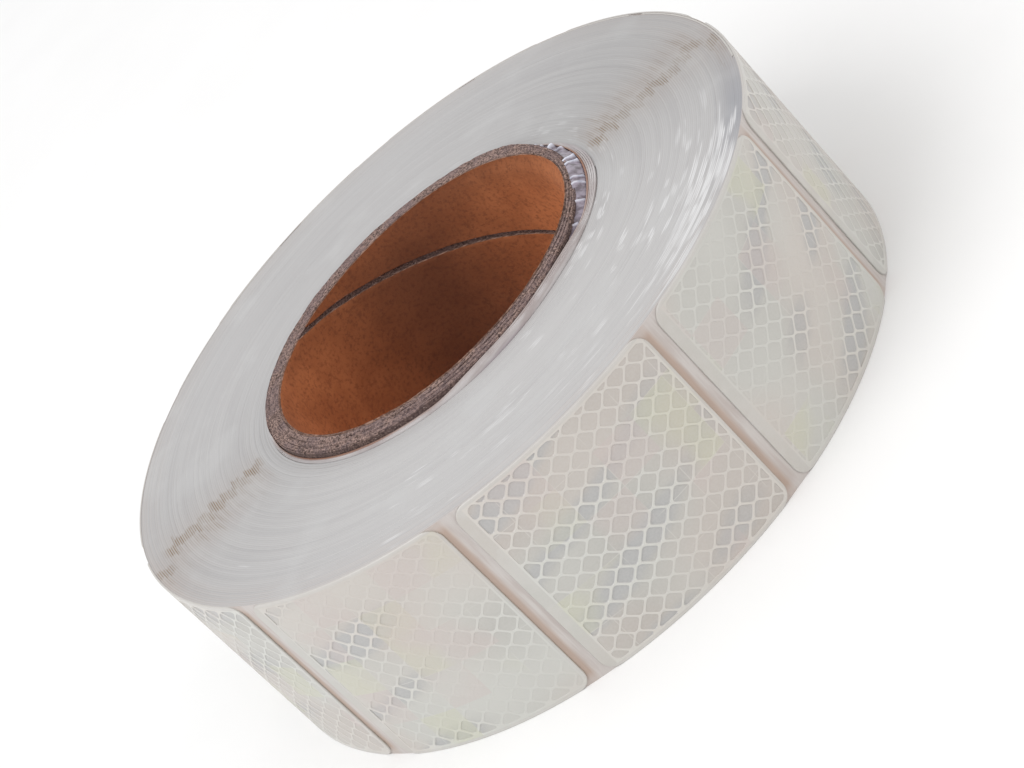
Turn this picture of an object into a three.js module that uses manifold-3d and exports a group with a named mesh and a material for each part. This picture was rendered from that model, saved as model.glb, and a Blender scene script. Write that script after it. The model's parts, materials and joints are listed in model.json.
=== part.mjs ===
// A roll of segmented retroreflective tape on a paperboard core, lying flat.
//
// Millimetres, +Z up. The roll's axis is the Z axis, and the lower end of the windings is at z = 0.
// Angles are in degrees about +Z, counted from +X.
// "Run" is the angle unwound from the tape's free end: run 0 is the free end, run 360 is one turn further in.

import * as THREE from "three";
import { mergeVertices } from "three/addons/utils/BufferGeometryUtils.js";
import Module from "manifold-3d";

// Driving dimensions
const TAPE_WIDTH = 50;
const ROLL_RADIUS = 83.3; // outer face of the film at the free end
const TURN_PITCH = 0.5; // radius lost in one turn
const FILM_THICKNESS = 0.36;
const LINER_THICKNESS = 0.1;
const LAYER_CLEARANCE = 0.02; // between film and liner, and between one turn and the next
const SEGMENT_PITCH = 38; // degrees from one gap to the next
const SEGMENT_GAP = 3.9;
const SEGMENT_CORNER_RADIUS = 3.5;
const FREE_END_ANGLE = 119;
const TAIL_SEGMENTS = 3; // segments that can be lifted off the roll
const ROLL_SEGMENTS = 10; // segments on the outer turn and under the tail
const HINGE_SLIT = 0.3; // between two stretches of liner, where the tail bends
const CORE_ROOM = 0.2; // between the core and the starter turn
const CRESCENT_WIDTH = 3.3; // extra room where the opening stands off the core
const CRESCENT_ANGLE = -10;
const CRESCENT_REACH = 60; // degrees from the crescent's middle to each of its tips
const STARTER_THICKNESS = 0.75;
const STARTER_CLEARANCE = 0.15;
const STARTER_PROUD = 1.9; // how far the starter turn stands above the windings
const CORE_BORE_RADIUS = 38.1;
const CORE_PLY_THICKNESSES = [0.5, 1.3, 1.3, 1.2, 0.3]; // from the bore outwards
const CORE_PLY_CLEARANCE = 0.02;
const CORE_LENGTH = 50.3; // at the bore
const CORE_END_STEP = 0.15; // each ply ends this far below the one inside it
const CORE_PROUD = 2.4; // how far the core is pushed up through the windings
const CORE_OFFSET = 1.7; // the core sits against one side of the opening
const CORE_OFFSET_ANGLE = 185;
const SEAM_LEAD = 84; // advance of the inner ply's helix in one turn
const SEAM_WIDTH = 1.2;
const SEAM_ANGLE_AT_TOP = 130;
const PLEAT_COUNT = 12;
const PLEAT_START_ANGLE = -52;
const PLEAT_END_ANGLE = 32;
const PLEAT_FILM_THICKNESS = 0.2;
const PLEAT_CLEARANCE = 0.3;
const PLEAT_FOOT = 4; // the film's lower and upper edges, above the core's lower end
const PLEAT_TOP = 49.4;

// Fineness of the solids
const TURN_FACET = 3; // degrees, shared by all the turns so that their facets nest
const CORE_FACET = 5;
const SEAM_FACET = 5;
const CORNER_FACETS = 4;
const POINTS_PER_PLEAT = 8;

const TURN = 360;
const radians = THREE.MathUtils.degToRad;

const material = (color, roughness) => new THREE.MeshStandardMaterial({ color, roughness, metalness: 0 });
const filmMaterial = material(0xe4e6e6, 0.3);
const windingMaterial = material(0xd2d2d0, 0.45);
const linerMaterial = material(0xdccbc4, 0.4);
const starterMaterial = material(0xc79f8c, 0.6);
const pleatMaterial = material(0xc3c6d8, 0.25);
const kraftMaterial = material(0x8f5632, 0.85);
const boardMaterial = material(0x6b5348, 0.95);

function polar(angle, radius) {
  return new THREE.Vector2(Math.cos(radians(angle)), Math.sin(radians(angle))).multiplyScalar(radius);
}

// One closed body from a list of sections with the same number of corners each.
// A closed sweep joins its last section to its first. An open one gets a flat cap at each end.
function sweptGeometry(sections, closed) {
  const corners = sections[0].length;
  const positions = sections.flat().flatMap((p) => [p.x, p.y, p.z]);
  const indices = [];
  const steps = closed ? sections.length : sections.length - 1;
  for (let i = 0; i < steps; i++) {
    const here = i * corners;
    const next = ((i + 1) % sections.length) * corners;
    for (let j = 0; j < corners; j++) {
      const k = (j + 1) % corners;
      indices.push(here + j, next + j, next + k);
      indices.push(here + j, next + k, here + k);
    }
  }
  if (!closed) {
    const last = (sections.length - 1) * corners;
    for (let j = 1; j < corners - 1; j++) {
      indices.push(0, j, j + 1);
      indices.push(last, last + j + 1, last + j);
    }
  }
  const geometry = new THREE.BufferGeometry();
  geometry.setAttribute("position", new THREE.Float32BufferAttribute(positions, 3));
  geometry.setIndex(indices);
  return geometry;
}

// The four corners of a section across a layer, seen with the sweep coming towards the viewer.
function layerSection(inner, outer, low, high) {
  return [
    new THREE.Vector3(inner.x, inner.y, low),
    new THREE.Vector3(inner.x, inner.y, high),
    new THREE.Vector3(outer.x, outer.y, high),
    new THREE.Vector3(outer.x, outer.y, low),
  ];
}

// Where the ray at this run meets the faceted layer whose corners have the radii that radiusAt gives.
function facetedPoint(run, radiusAt) {
  const facetStart = Math.floor(run / TURN_FACET) * TURN_FACET;
  const facetEnd = facetStart + TURN_FACET;
  const a = polar(FREE_END_ANGLE - facetStart, radiusAt(facetStart));
  const b = polar(FREE_END_ANGLE - facetEnd, radiusAt(facetEnd));
  const ray = polar(FREE_END_ANGLE - run, 1);
  const crossA = ray.cross(a);
  const crossB = ray.cross(b);
  return a.lerp(b, crossA / (crossA - crossB));
}

const turnRadius = (run) => ROLL_RADIUS - (TURN_PITCH * run) / TURN;
const arcDegrees = (length, run) => THREE.MathUtils.radToDeg(length / turnRadius(run));

// The runs at which a strip needs a section: its own ends, and each facet edge between them.
function facetRuns(start, end) {
  const runs = [start];
  for (let run = Math.ceil(start / TURN_FACET) * TURN_FACET; run < end; run += TURN_FACET) {
    if (run > start) runs.push(run);
  }
  runs.push(end);
  return runs;
}

// A strip of one layer from one run to another. inset(run) is how far its edges draw in at that run.
function stripGeometry(runs, depthOuter, thickness, inset = () => 0) {
  const sections = runs.map((run) => {
    const outer = facetedPoint(run, (r) => turnRadius(r) - depthOuter);
    const inner = facetedPoint(run, (r) => turnRadius(r) - depthOuter - thickness);
    return layerSection(inner, outer, inset(run), TAPE_WIDTH - inset(run));
  });
  return sweptGeometry(sections, false);
}

const LINER_DEPTH = FILM_THICKNESS + LAYER_CLEARANCE;

function linerGeometry(start, end) {
  return stripGeometry(facetRuns(start, end), LINER_DEPTH, LINER_THICKNESS);
}

// One sealed segment of film between two gaps, with its corners rounded.
function segmentGeometry(index) {
  const halfGap = arcDegrees(SEGMENT_GAP / 2, index * SEGMENT_PITCH);
  const start = index * SEGMENT_PITCH + halfGap;
  const end = (index + 1) * SEGMENT_PITCH - halfGap;
  const runs = facetRuns(start, end);
  for (let i = 1; i <= CORNER_FACETS; i++) {
    const along = SEGMENT_CORNER_RADIUS * (1 - Math.cos(radians((90 * i) / CORNER_FACETS)));
    runs.push(start + arcDegrees(along, start), end - arcDegrees(along, end));
  }
  runs.sort((a, b) => a - b);
  const inset = (run) => {
    const toEnd = Math.min(run - start, end - run);
    const along = Math.min(radians(toEnd) * turnRadius(run), SEGMENT_CORNER_RADIUS);
    const across = Math.sqrt(SEGMENT_CORNER_RADIUS ** 2 - (SEGMENT_CORNER_RADIUS - along) ** 2);
    return SEGMENT_CORNER_RADIUS - across;
  };
  return stripGeometry(runs, 0, FILM_THICKNESS, inset);
}

const coreCentre = polar(CORE_OFFSET_ANGLE, CORE_OFFSET);
const coreWall = CORE_PLY_THICKNESSES.reduce((sum, ply) => sum + ply + CORE_PLY_CLEARANCE, 0);
const coreRadius = CORE_BORE_RADIUS + coreWall;

// Distance from the roll's axis to the outside of the core, which stands off centre.
function coreEdge(angle) {
  const alongRay = coreCentre.dot(polar(angle, 1));
  const acrossRay = coreCentre.cross(polar(angle, 1));
  return alongRay + Math.sqrt(coreRadius ** 2 - acrossRay ** 2);
}

// The tape starts close round the core, except for a crescent on one side.
function starterInner(angle) {
  const away = THREE.MathUtils.euclideanModulo(angle - CRESCENT_ANGLE + TURN / 2, TURN) - TURN / 2;
  const share = Math.min(Math.abs(away) / CRESCENT_REACH, 1);
  return coreEdge(angle) + CORE_ROOM + CRESCENT_WIDTH * Math.cos((share * Math.PI) / 2) ** 2;
}

const starterOuter = (angle) => starterInner(angle) + STARTER_THICKNESS;
const openingRadius = (angle) => starterOuter(angle) + STARTER_CLEARANCE;

// All the inner turns as one ring: outside it is a spiral, with one step where its outermost tape ends.
function windingGeometry() {
  const stepRun = (TAIL_SEGMENTS + ROLL_SEGMENTS) * SEGMENT_PITCH;
  const stepSlope = 0.3;
  const sections = facetRuns(stepRun + stepSlope, stepRun + TURN).map((run) => {
    const outer = facetedPoint(run, turnRadius);
    const inner = polar(FREE_END_ANGLE - run, openingRadius(FREE_END_ANGLE - run));
    return layerSection(inner, outer, 0, TAPE_WIDTH);
  });
  return sweptGeometry(sections, true);
}

// An upright ring. Its two radii are functions of the angle.
function ringGeometry(innerRadius, outerRadius, low, high, facet) {
  const sections = [];
  for (let angle = TURN; angle > 0; angle -= facet) {
    const inner = polar(angle, innerRadius(angle));
    const outer = polar(angle, outerRadius(angle));
    sections.push(layerSection(inner, outer, low, high));
  }
  return sweptGeometry(sections, true);
}

const wasm = await Module();
wasm.setup();

function toManifold(geometry) {
  const merged = mergeVertices(geometry);
  const mesh = new wasm.Mesh({
    numProp: 3,
    vertProperties: merged.attributes.position.array,
    triVerts: new Uint32Array(merged.index.array),
  });
  return new wasm.Manifold(mesh);
}

function toGeometry(manifold) {
  const mesh = manifold.getMesh();
  const geometry = new THREE.BufferGeometry();
  geometry.setAttribute("position", new THREE.Float32BufferAttribute(mesh.vertProperties, 3));
  geometry.setIndex(new THREE.Uint32BufferAttribute(mesh.triVerts, 1));
  return geometry;
}

// The inner ply is a ribbon wound in a helix, so an open seam climbs round the bore.
function seamCutterGeometry(innerRadius, outerRadius) {
  const beyond = SEAM_WIDTH;
  const overcut = 0.2;
  const topAngle = SEAM_ANGLE_AT_TOP + (beyond / SEAM_LEAD) * TURN;
  const bottomAngle = SEAM_ANGLE_AT_TOP - ((CORE_LENGTH + beyond) / SEAM_LEAD) * TURN;
  const steps = Math.ceil((topAngle - bottomAngle) / SEAM_FACET);
  const sections = [];
  for (let i = 0; i <= steps; i++) {
    const angle = topAngle + ((bottomAngle - topAngle) * i) / steps;
    const middle = CORE_LENGTH + ((angle - SEAM_ANGLE_AT_TOP) / TURN) * SEAM_LEAD;
    const inner = polar(angle, innerRadius - overcut);
    const outer = polar(angle, outerRadius + overcut);
    sections.push(layerSection(inner, outer, middle - SEAM_WIDTH / 2, middle + SEAM_WIDTH / 2));
  }
  return sweptGeometry(sections, false);
}

// A thin film folded into radial pleats that fill the crescent between the core and the starter turn.
function pleatGeometry() {
  const steps = PLEAT_COUNT * POINTS_PER_PLEAT;
  const middleLine = [];
  for (let i = 0; i <= steps; i++) {
    const angle = PLEAT_END_ANGLE + ((PLEAT_START_ANGLE - PLEAT_END_ANGLE) * i) / steps;
    const near = coreEdge(angle) + PLEAT_CLEARANCE + PLEAT_FILM_THICKNESS / 2;
    const far = starterInner(angle) - PLEAT_CLEARANCE - PLEAT_FILM_THICKNESS / 2;
    const swing = Math.cos((2 * Math.PI * i) / POINTS_PER_PLEAT);
    middleLine.push(polar(angle, (near + far) / 2 + ((far - near) / 2) * swing));
  }
  const sections = middleLine.map((point, i) => {
    const before = middleLine[Math.max(i - 1, 0)];
    const after = middleLine[Math.min(i + 1, steps)];
    const along = after.clone().sub(before).normalize();
    const side = new THREE.Vector2(along.y, -along.x).multiplyScalar(PLEAT_FILM_THICKNESS / 2);
    const outer = point.clone().sub(side);
    const inner = point.clone().add(side);
    return layerSection(inner, outer, CORE_PROUD + PLEAT_FOOT, CORE_PROUD + PLEAT_TOP);
  });
  return sweptGeometry(sections, false);
}

function addPiece(group, name, geometry, pieceMaterial) {
  geometry.computeVertexNormals();
  const mesh = new THREE.Mesh(geometry, pieceMaterial);
  mesh.name = name;
  group.add(mesh);
}

const segmentName = (index) => "tape_segment_" + String(index + 1).padStart(2, "0");

function buildOpening() {
  const group = new THREE.Group();
  const starterTop = TAPE_WIDTH + STARTER_PROUD;
  const starter = ringGeometry(starterInner, starterOuter, STARTER_PROUD, starterTop, CORE_FACET);
  addPiece(group, "starter_turn", starter, starterMaterial);
  addPiece(group, "anchor_film", pleatGeometry(), pleatMaterial);
  return group;
}

function buildWindings() {
  const group = new THREE.Group();
  const lastRun = (TAIL_SEGMENTS + ROLL_SEGMENTS) * SEGMENT_PITCH;
  const tailRun = TAIL_SEGMENTS * SEGMENT_PITCH;
  const halfSlit = arcDegrees(HINGE_SLIT / 2, tailRun);
  addPiece(group, "inner_turns", windingGeometry(), windingMaterial);
  addPiece(group, "roll_liner", linerGeometry(tailRun + halfSlit, lastRun - halfSlit), linerMaterial);
  for (let index = TAIL_SEGMENTS; index < TAIL_SEGMENTS + ROLL_SEGMENTS; index++) {
    addPiece(group, segmentName(index), segmentGeometry(index), filmMaterial);
  }
  return group;
}

function buildTail() {
  const group = new THREE.Group();
  for (let index = 0; index < TAIL_SEGMENTS; index++) {
    const start = index * SEGMENT_PITCH;
    const end = start + SEGMENT_PITCH;
    const halfSlit = arcDegrees(HINGE_SLIT / 2, end);
    const linerStart = index === 0 ? 0 : start + halfSlit;
    addPiece(group, "tail_liner_0" + (index + 1), linerGeometry(linerStart, end - halfSlit), linerMaterial);
    addPiece(group, segmentName(index), segmentGeometry(index), filmMaterial);
  }
  return group;
}

function buildCore() {
  const group = new THREE.Group();
  const boardNames = [1, 2, 3].map((number) => "core_board_ply_" + number);
  const names = ["core_bore_ply", ...boardNames, "core_outer_ply"];
  let radius = CORE_BORE_RADIUS;
  names.forEach((name, i) => {
    const innerRadius = radius;
    const outerRadius = radius + CORE_PLY_THICKNESSES[i];
    const top = CORE_LENGTH - CORE_END_STEP * i;
    let geometry = ringGeometry(() => innerRadius, () => outerRadius, 0, top, CORE_FACET);
    if (name === "core_bore_ply") {
      const cutter = toManifold(seamCutterGeometry(innerRadius, outerRadius));
      geometry = toGeometry(toManifold(geometry).subtract(cutter));
    }
    addPiece(group, name, geometry, i === 0 ? kraftMaterial : boardMaterial);
    radius = outerRadius + CORE_PLY_CLEARANCE;
  });
  group.position.set(coreCentre.x, coreCentre.y, CORE_PROUD);
  return group;
}

const roll = new THREE.Group();
roll.add(buildWindings(), buildTail(), buildOpening(), buildCore());

export default roll;
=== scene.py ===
"""A roll of segmented retroreflective tape on a paperboard core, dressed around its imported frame.

Metres, +Z up. The roll's axis is the Z axis, and the lower end of the windings is at z = 0.
"Run" is the angle unwound from the tape's free end, in radians, as it is in the frame.
"""

import json
import math

import bpy
import numpy as np
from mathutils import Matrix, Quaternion, Vector
from mathutils.geometry import delaunay_2d_cdt

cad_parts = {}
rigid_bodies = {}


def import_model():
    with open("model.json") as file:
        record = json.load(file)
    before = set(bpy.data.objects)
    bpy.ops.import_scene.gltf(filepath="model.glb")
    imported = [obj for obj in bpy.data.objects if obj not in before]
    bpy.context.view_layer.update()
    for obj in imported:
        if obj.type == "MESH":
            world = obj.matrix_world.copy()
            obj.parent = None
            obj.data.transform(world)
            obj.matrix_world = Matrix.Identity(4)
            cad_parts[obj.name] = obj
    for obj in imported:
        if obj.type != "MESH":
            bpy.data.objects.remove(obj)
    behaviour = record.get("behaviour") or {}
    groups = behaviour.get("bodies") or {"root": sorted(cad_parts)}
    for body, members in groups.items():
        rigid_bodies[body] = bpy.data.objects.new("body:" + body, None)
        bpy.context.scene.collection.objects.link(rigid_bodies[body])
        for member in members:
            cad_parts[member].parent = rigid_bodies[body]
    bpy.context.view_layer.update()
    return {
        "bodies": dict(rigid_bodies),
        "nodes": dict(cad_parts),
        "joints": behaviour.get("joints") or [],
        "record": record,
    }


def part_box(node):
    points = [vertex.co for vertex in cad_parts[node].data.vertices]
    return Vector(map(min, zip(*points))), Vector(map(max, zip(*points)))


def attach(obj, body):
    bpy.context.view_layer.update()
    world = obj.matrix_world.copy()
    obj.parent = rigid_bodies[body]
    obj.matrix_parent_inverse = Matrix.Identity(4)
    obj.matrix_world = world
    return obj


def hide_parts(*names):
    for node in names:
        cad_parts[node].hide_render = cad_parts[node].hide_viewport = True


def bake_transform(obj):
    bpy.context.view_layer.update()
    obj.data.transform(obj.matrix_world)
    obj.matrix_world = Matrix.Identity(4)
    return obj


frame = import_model()

MM = 0.001
DEGREE = math.pi / 180

# The tape's layers
TURN_PITCH = 0.5 * MM
FILM_THICKNESS = 0.36 * MM
LAYER_CLEARANCE = 0.02 * MM
LINER_DEPTH = FILM_THICKNESS + LAYER_CLEARANCE
SNUG = 0.005 * MM  # what is left between two layers that lie against each other

# The honeycomb of a segment, in millimetres
CELL_PITCH_ALONG = 6.3
CELL_PITCH_ACROSS = 4.6
CELL_TIP = 0.45  # half the length of the short wall between two cells
CELL_WALL = 0.38
CELL_SLOPE = 0.1
CELL_DEPTH = 0.1
HAZY_DEPTH = 0.4  # share of the depth that is left where the honeycomb is lost in glare
BAND_DEPTH = 1.3  # share of the depth that a band of strong cells adds
BAND_SLOPE_GAIN = 1.5
FLOOR_CROWN = 0.75  # the middle of a cell's floor is at least this share of its depth down
CELL_ROUNDING = 0.55
SMALLEST_CELL = 0.8  # square millimetres
SHORTEST_CELL_SIDE = 0.12
PRISM_TILE = 10.0  # side of the square tiles that the prisms behind the cells are made in
SIDE_BORDER = 1.2
START_BORDER = 1.0
END_BORDER = 2.9
BORDER_RADIUS = 1.6
SEGMENT_CORNER_RADIUS = 3.5
COVERED_CORNER_RADIUS = 0.8  # small, so that no hole shows in the roll's end under the outer turn
CORNER_STEPS = 7
STATION_SPACING = 1.5
EDGE_BEVEL = 0.14
END_LIFT = 0.03
END_LIFT_LENGTH = 2.5

# Where the honeycomb shows and where it is lost in glare, which the film's colour paints
CLEAREST_ANGLE = -86 * DEGREE
BAND_SPACING = 16.0  # millimetres across the tape, from one strong band of cells to the next
BAND_SLANT = 0.3  # how far, for each millimetre along the tape, a band moves across it
HAZE_SIZE = 26.0
CLEAR_LEVELS = (0.3, 0.8)  # how much of the honeycomb shows on a segment, at worst and at best

# The studio shows a matt surface this many times brighter than its own colour
STUDIO_GAIN = 1.23


# Measures taken from the frame

def node_points(name):
    vertices = frame["nodes"][name].data.vertices
    points = np.empty(len(vertices) * 3)
    vertices.foreach_get("co", points)
    return points.reshape(-1, 3)


def node_radii(name):
    """Lowest and highest distance of a node's points from the roll's axis."""
    points = node_points(name)
    radii = np.hypot(points[:, 0], points[:, 1])
    return radii.min(), radii.max()


def node_angles(name):
    """Lowest and highest angle of a node that covers less than half a turn."""
    points = node_points(name)
    middle = points.mean(axis=0)
    towards = math.atan2(middle[1], middle[0])
    turned = np.arctan2(points[:, 1], points[:, 0]) - towards
    turned = (turned + math.pi) % math.tau - math.pi
    return towards + turned.min(), towards + turned.max()


def radius_by_angle(name, pick):
    """A ring node's radius as a function of angle. pick is min for its inner side, max for its outer."""
    points = node_points(name)
    angles = np.round(np.arctan2(points[:, 1], points[:, 0]) / DEGREE, 2) % 360
    radii = np.hypot(points[:, 0], points[:, 1])
    knots = np.unique(angles)
    values = [pick(radii[angles == knot]) for knot in knots]
    return lambda angle: np.interp(angle / DEGREE, knots, values, period=360)


TAPE_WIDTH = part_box("inner_turns")[1].z
OUTER_RADIUS = node_radii("tape_segment_01")[1]
FREE_END = node_angles("tail_liner_01")[1]
SEGMENTS = sorted(name for name in frame["nodes"] if name.startswith("tape_segment_"))
BODY_NODES = frame["record"]["behaviour"]["bodies"]
NODE_BODY = {node: body for body, nodes in BODY_NODES.items() for node in nodes}
BODY_PARENT = {joint["child"]: joint["parent"] for joint in frame["joints"]}
ROOT_BODY = next(body for body in frame["bodies"] if body not in BODY_PARENT)
AXIS = Vector((0, 0, 0))


def turn_radius(run):
    return OUTER_RADIUS - TURN_PITCH * run / math.tau


def spiral(run, depth, height):
    """The point of the roll at a run, at a depth below the film's outer face, at a height."""
    radius = turn_radius(run) - depth
    angle = FREE_END - run
    return np.stack(np.broadcast_arrays(radius * np.cos(angle), radius * np.sin(angle), height), axis=-1)


def node_runs(name, depth=0.0):
    """First and last run of a node whose outer face lies this far below the film's outer face."""
    low, high = node_angles(name)
    start = (FREE_END - high + DEGREE) % math.tau - DEGREE
    turns_in = (OUTER_RADIUS - depth - node_radii(name)[1]) / TURN_PITCH
    start += math.tau * round(turns_in - start / math.tau)
    return start, start + high - low


# Mesh building

def smooth(t):
    """A share from 0 to 1, eased in and out."""
    return t * t * (3 - 2 * t)


def value_noise(rng, x, spacing):
    """Smooth random values from -1 to 1 along x, which is never negative."""
    steps = x / spacing
    cell = np.floor(steps).astype(int)
    knots = rng.uniform(-1, 1, cell.max() + 2)
    blend = smooth(steps - cell)
    return knots[cell] * (1 - blend) + knots[cell + 1] * blend


def ring_noise(rng, angles, rows, knots_per_turn):
    """Smooth random values round a ring, one row after another, each closing on itself."""
    steps = (angles % math.tau) / math.tau * knots_per_turn
    cell = np.floor(steps).astype(int) % knots_per_turn
    knots = rng.uniform(-1, 1, (rows, knots_per_turn))
    blend = smooth(steps - np.floor(steps))
    return knots[:, cell] * (1 - blend) + knots[:, (cell + 1) % knots_per_turn] * blend


def wave_field(rng, x, y, size, waves=5):
    """Smooth random values from about -1 to 1 over a flat place, in waves of about the given size."""
    total = 0
    for _ in range(waves):
        angle, phase = rng.uniform(0, math.tau, 2)
        length = size * rng.uniform(0.7, 1.4)
        total = total + np.sin((x * math.cos(angle) + y * math.sin(angle)) * math.tau / length + phase)
    return total / math.sqrt(waves)


def eased(values, low, high):
    """0 below low, 1 above high, and a smooth step between them."""
    return smooth(np.clip((values - low) / (high - low), 0, 1))


def ring_grain(points, centre, stretch):
    """Places in millimetres for a noise drawn out round a ring, as paper fibres and tape layers are."""
    x, y = (points[:, 0] - centre.x) / MM, (points[:, 1] - centre.y) / MM
    radius = np.hypot(x, y)
    middle = radius.mean() / stretch
    return np.stack([middle * x / radius, middle * y / radius, radius + points[:, 2] / MM], axis=1)


def outward(points, faces):
    """The same faces, turned over if they point into the body."""
    volume = 0.0
    for face in faces:
        corners = points[face]
        volume += float(corners[0] @ np.cross(corners[1:-1], corners[2:]).sum(axis=0))
    return faces if volume > 0 else [face[::-1] for face in faces]


def sweep(sections, closed):
    """Points and faces of the body that closed sections sweep out, with flat ends if it is open."""
    count, corners = sections.shape[:2]
    row = np.arange(count if closed else count - 1)[:, None] * corners
    next_row = (row + corners) % (count * corners)
    here = np.arange(corners)
    after = (here + 1) % corners
    quads = np.stack([row + here, row + after, next_row + after, next_row + here], axis=-1).reshape(-1, 4)
    faces = [list(quad) for quad in quads.tolist()]
    if not closed:
        last = (count - 1) * corners
        faces.append(list(range(corners))[::-1])
        faces.append([last + j for j in range(corners)])
    points = sections.reshape(-1, 3)
    return points, outward(points, faces)


def set_attribute(mesh, name, values):
    values = np.asarray(values, dtype=np.float32)
    kind = "FLOAT_VECTOR" if values.ndim == 2 else "FLOAT"
    attribute = mesh.attributes.new(name, kind, "POINT")
    attribute.data.foreach_set("vector" if values.ndim == 2 else "value", values.ravel())


def place_object(name, data):
    made = bpy.data.objects.new(name, data)
    bpy.context.scene.collection.objects.link(made)
    return made


def add_piece(name, slot, nodes, points, faces, body=ROOT_BODY, attributes=None, sharp=None):
    """A mesh object that stands for CAD nodes, shaded smooth up to edges that turn by sharp degrees."""
    mesh = bpy.data.meshes.new(name)
    mesh.from_pydata(points.tolist(), [], faces)
    mesh.polygons.foreach_set("use_smooth", [True] * len(mesh.polygons))
    for key, values in (attributes or {}).items():
        set_attribute(mesh, key, values)
    mesh.materials.append(MATERIALS[slot])
    mesh.update()
    piece = place_object(name, mesh)
    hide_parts(*nodes)
    if body:
        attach(piece, body)
    if sharp:
        mesh.set_sharp_from_angle(angle=sharp * DEGREE)
    return piece


# Material building

class Shader:
    """A node material, and short names for the nodes that the finishes use."""

    def __init__(self, name):
        self.material = bpy.data.materials.new(name)
        self.material.use_nodes = True
        self.tree = self.material.node_tree
        self.surface = self.tree.nodes["Principled BSDF"]

    def node(self, kind, inputs=None, **settings):
        """A new node. inputs are sockets, numbers or colours, by the name or the place of its input."""
        made = self.tree.nodes.new(kind)
        for key, value in settings.items():
            setattr(made, key, value)
        for key, value in (inputs or {}).items():
            self.feed(made.inputs[key], value)
        return made

    def feed(self, socket, value):
        if isinstance(value, bpy.types.NodeSocket):
            self.tree.links.new(value, socket)
        elif socket.type == "RGBA" and len(value) == 3:
            socket.default_value = (*value, 1)
        else:
            socket.default_value = value

    def attribute(self, name):
        return self.node("ShaderNodeAttribute", attribute_name=name)

    def value(self, name):
        return self.attribute(name).outputs["Fac"]

    def place(self, stretch=(1, 1, 1), source=None):
        """Object coordinates in millimetres, or another vector, stretched along its axes."""
        if source is None:
            source = self.node("ShaderNodeTexCoord").outputs["Object"]
            stretch = tuple(1000 * s for s in stretch)
        return self.node(
            "ShaderNodeVectorMath", {0: source, 1: stretch}, operation="MULTIPLY").outputs[0]

    def noise(self, vector, size, detail=3, roughness=0.5):
        """Noise from 0 to 1 whose blobs are about size millimetres across."""
        inputs = {"Vector": vector, "Scale": 1 / size, "Detail": detail, "Roughness": roughness}
        return self.node("ShaderNodeTexNoise", inputs).outputs["Fac"]

    def parts(self, vector):
        return self.node("ShaderNodeSeparateXYZ", {0: vector}).outputs

    def tile_values(self, vector, size):
        """Three random values that stay the same over each square tile."""
        scaled = self.place((1 / size,) * 3, vector)
        cell = self.node("ShaderNodeVectorMath", {0: scaled}, operation="FLOOR").outputs[0]
        return self.parts(self.node("ShaderNodeTexWhiteNoise", {"Vector": cell}).outputs["Color"])

    def steps(self, value, low, high, to_low=0.0, to_high=1.0):
        """value between low and high, eased to the range to_low to to_high."""
        inputs = {"Value": value, "From Min": low, "From Max": high, "To Min": to_low, "To Max": to_high}
        return self.node("ShaderNodeMapRange", inputs, interpolation_type="SMOOTHSTEP").outputs[0]

    def math(self, operation, a, b=0.0):
        return self.node("ShaderNodeMath", {0: a, 1: b}, operation=operation).outputs[0]

    def mix(self, factor, a, b):
        """Colour a where factor is 0, colour b where it is 1. Inputs 6 and 7 are the node's colours."""
        return self.node("ShaderNodeMix", {"Factor": factor, 6: a, 7: b}, data_type="RGBA").outputs[2]

    def over(self, colour, other, value, low, high, most=1.0):
        """colour, covered by other as value goes from low to high, up to a share of most."""
        return self.mix(self.steps(value, low, high, 0, most), colour, other)

    def bump(self, height, distance, strength=1.0, normal=None):
        inputs = {"Height": height, "Distance": distance, "Strength": strength}
        if normal is not None:
            inputs["Normal"] = normal
        return self.node("ShaderNodeBump", inputs).outputs[0]

    def finish(self, colour, roughness, normal=None, **inputs):
        self.feed(self.surface.inputs["Base Color"], colour)
        self.feed(self.surface.inputs["Roughness"], roughness)
        if normal is not None:
            self.feed(self.surface.inputs["Normal"], normal)
        for key, value in inputs.items():
            self.feed(self.surface.inputs[key.replace("_", " ")], value)
        return self.material


def srgb(red, green, blue):
    """A colour given in display values from 0 to 255."""
    return tuple(((value / 255 + 0.055) / 1.055) ** 2.4 for value in (red, green, blue))


def shown(red, green, blue):
    """The colour that the studio's light shows as these display values."""
    return tuple(c / STUDIO_GAIN for c in srgb(red, green, blue))


BLACK = (0, 0, 0)


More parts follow.
